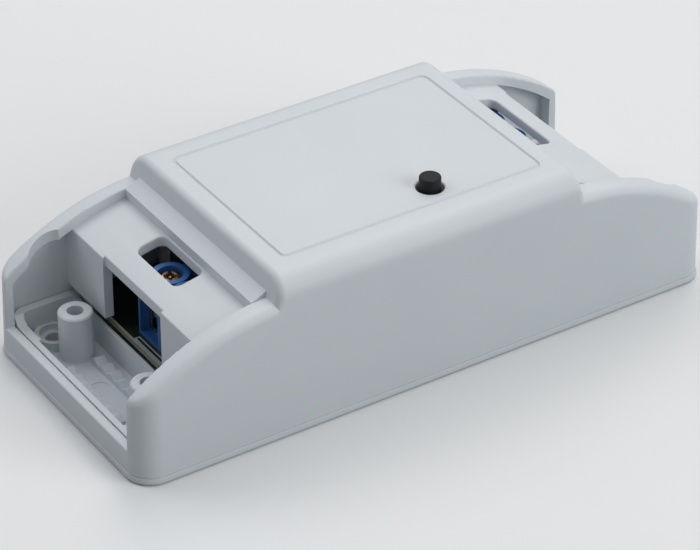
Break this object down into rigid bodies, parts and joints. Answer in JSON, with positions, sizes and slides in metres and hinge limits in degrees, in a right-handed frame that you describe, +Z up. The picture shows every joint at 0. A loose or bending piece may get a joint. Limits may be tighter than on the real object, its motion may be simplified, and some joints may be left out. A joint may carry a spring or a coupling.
{
  "type": "smart switch",
  "caption": "In-line mains switch module with a radio-controlled relay: arched grey housing, end wells with toothed cable grips, rising-clamp screw terminals and a top push button.",
  "frame": {"origin": "centre of the flat underside", "axes": "+Z up from the resting face, +X along the housing from the input end to the output end, +Y to the left when facing +X"},
  "size_m": [0.088, 0.0384, 0.0247],
  "materials": {
    "housing_plastic": "fine spark-eroded matte, cool light grey ABS/polycarbonate",
    "base_plastic": "matte light grey ABS/polycarbonate",
    "board_laminate": "glass-epoxy laminate, satin solder mask",
    "terminal_plastic": "satin blue polyamide",
    "terminal_screw_steel": "yellow-passivated steel",
    "clamp_metal": "bright nickel-plated steel",
    "contact_metal": "tin-plated brass",
    "lead_metal": "tinned copper",
    "button_plastic": "satin black polyamide",
    "black_plastic": "matt black moulded plastic",
    "sheet_steel": "bright stamped steel",
    "relay_plastic": "satin black polybutylene",
    "magnet_iron": "soft iron, plated",
    "copper_winding": "enamelled copper wire",
    "spring_copper": "rolled beryllium copper",
    "ferrite": "sintered ferrite, dark grey",
    "former_plastic": "black phenolic",
    "winding_tape": "yellow polyester tape over the winding",
    "capacitor_sleeve": "aluminium can in a dark shrink sleeve",
    "varistor_coat": "blue epoxy dip",
    "resistor_coat": "grey-green cement coat",
    "module_laminate": "blue solder mask",
    "led_epoxy": "clear epoxy"
  },
  "bodies": {
    "housing": {"upper_housing": "housing_plastic", "base_plate": "base_plastic", "circuit_board": "board_laminate", "input_terminal_block": "terminal_plastic", "output_terminal_block": "terminal_plastic", "input_terminal_contacts": "contact_metal", "output_terminal_contacts": "contact_metal", "tact_switch_body": "black_plastic", "tact_switch_cover": "sheet_steel", "tact_switch_dome": "sheet_steel", "tact_switch_legs": "lead_metal", "relay_case": "relay_plastic", "relay_base": "relay_plastic", "relay_pin_set": "lead_metal", "relay_yoke": "magnet_iron", "relay_core": "magnet_iron", "relay_bobbin": "former_plastic", "relay_winding": "copper_winding", "relay_fixed_contact": "spring_copper", "transformer_core": "ferrite", "transformer_former": "former_plastic", "transformer_winding": "winding_tape", "capacitor_1": "capacitor_sleeve", "capacitor_2": "capacitor_sleeve", "inductor_core": "ferrite", "inductor_winding": "copper_winding", "varistor": "varistor_coat", "fusible_resistor": "resistor_coat", "bridge_rectifier": "black_plastic", "optocoupler": "black_plastic", "component_leads": "lead_metal", "radio_module": "module_laminate", "radio_shield": "sheet_steel", "radio_chip": "black_plastic", "status_led": "led_epoxy", "pin_header": "black_plastic", "header_pin_set": "contact_metal"},
    "button": {"push_button": "button_plastic"},
    "armature": {"relay_armature": "magnet_iron", "relay_blade": "spring_copper"},
    "input_screw_1": {"input_screw_1": "terminal_screw_steel"},
    "input_clamp_1": {"input_clamp_1": "clamp_metal"},
    "input_screw_2": {"input_screw_2": "terminal_screw_steel"},
    "input_clamp_2": {"input_clamp_2": "clamp_metal"},
    "output_screw_1": {"output_screw_1": "terminal_screw_steel"},
    "output_clamp_1": {"output_clamp_1": "clamp_metal"},
    "output_screw_2": {"output_screw_2": "terminal_screw_steel"},
    "output_clamp_2": {"output_clamp_2": "clamp_metal"},
    "output_screw_3": {"output_screw_3": "terminal_screw_steel"},
    "output_clamp_3": {"output_clamp_3": "clamp_metal"}
  },
  "joints": [
    {"name": "button_press", "type": "slide", "parent": "housing", "child": "button", "axis": [0, 0, -1], "range_m": [0, 0.00025], "stiffness_N_per_m": 3000, "springref_m": -0.0001},
    {"name": "armature_pull", "type": "hinge", "parent": "housing", "child": "armature", "pos_m": [0.0033, 0.0024, 0.0187], "axis": [0, 1, 0], "range_deg": [0, 1.8], "stiffness_Nm_per_rad": 0.02, "springref_deg": -1.72},
    {"name": "input_screw_1_turn", "type": "hinge", "parent": "housing", "child": "input_screw_1", "pos_m": [-0.02745, 0.00085, 0.0134], "axis": [0, 0, -1], "range_deg": [0, 1041]},
    {"name": "input_clamp_1_rise", "type": "slide", "parent": "housing", "child": "input_clamp_1", "axis": [0, 0, 1], "range_m": [0, 0.0013]},
    {"name": "input_screw_2_turn", "type": "hinge", "parent": "housing", "child": "input_screw_2", "pos_m": [-0.02745, -0.00423, 0.0134], "axis": [0, 0, -1], "range_deg": [0, 1041]},
    {"name": "input_clamp_2_rise", "type": "slide", "parent": "housing", "child": "input_clamp_2", "axis": [0, 0, 1], "range_m": [0, 0.0013]},
    {"name": "output_screw_1_turn", "type": "hinge", "parent": "housing", "child": "output_screw_1", "pos_m": [0.02745, 0.00963, 0.0134], "axis": [0, 0, -1], "range_deg": [0, 1041]},
    {"name": "output_clamp_1_rise", "type": "slide", "parent": "housing", "child": "output_clamp_1", "axis": [0, 0, 1], "range_m": [0, 0.0013]},
    {"name": "output_screw_2_turn", "type": "hinge", "parent": "housing", "child": "output_screw_2", "pos_m": [0.02745, 0.00455, 0.0134], "axis": [0, 0, -1], "range_deg": [0, 1041]},
    {"name": "output_clamp_2_rise", "type": "slide", "parent": "housing", "child": "output_clamp_2", "axis": [0, 0, 1], "range_m": [0, 0.0013]},
    {"name": "output_screw_3_turn", "type": "hinge", "parent": "housing", "child": "output_screw_3", "pos_m": [0.02745, -0.00053, 0.0134], "axis": [0, 0, -1], "range_deg": [0, 1041]},
    {"name": "output_clamp_3_rise", "type": "slide", "parent": "housing", "child": "output_clamp_3", "axis": [0, 0, 1], "range_m": [0, 0.0013]}
  ],
  "couplings": [
    {"joint": "input_screw_1_turn", "follows": "input_clamp_1_rise", "rad_per_m": 13963},
    {"joint": "input_screw_2_turn", "follows": "input_clamp_2_rise", "rad_per_m": 13963},
    {"joint": "output_screw_1_turn", "follows": "output_clamp_1_rise", "rad_per_m": 13963},
    {"joint": "output_screw_2_turn", "follows": "output_clamp_2_rise", "rad_per_m": 13963},
    {"joint": "output_screw_3_turn", "follows": "output_clamp_3_rise", "rad_per_m": 13963}
  ]
}
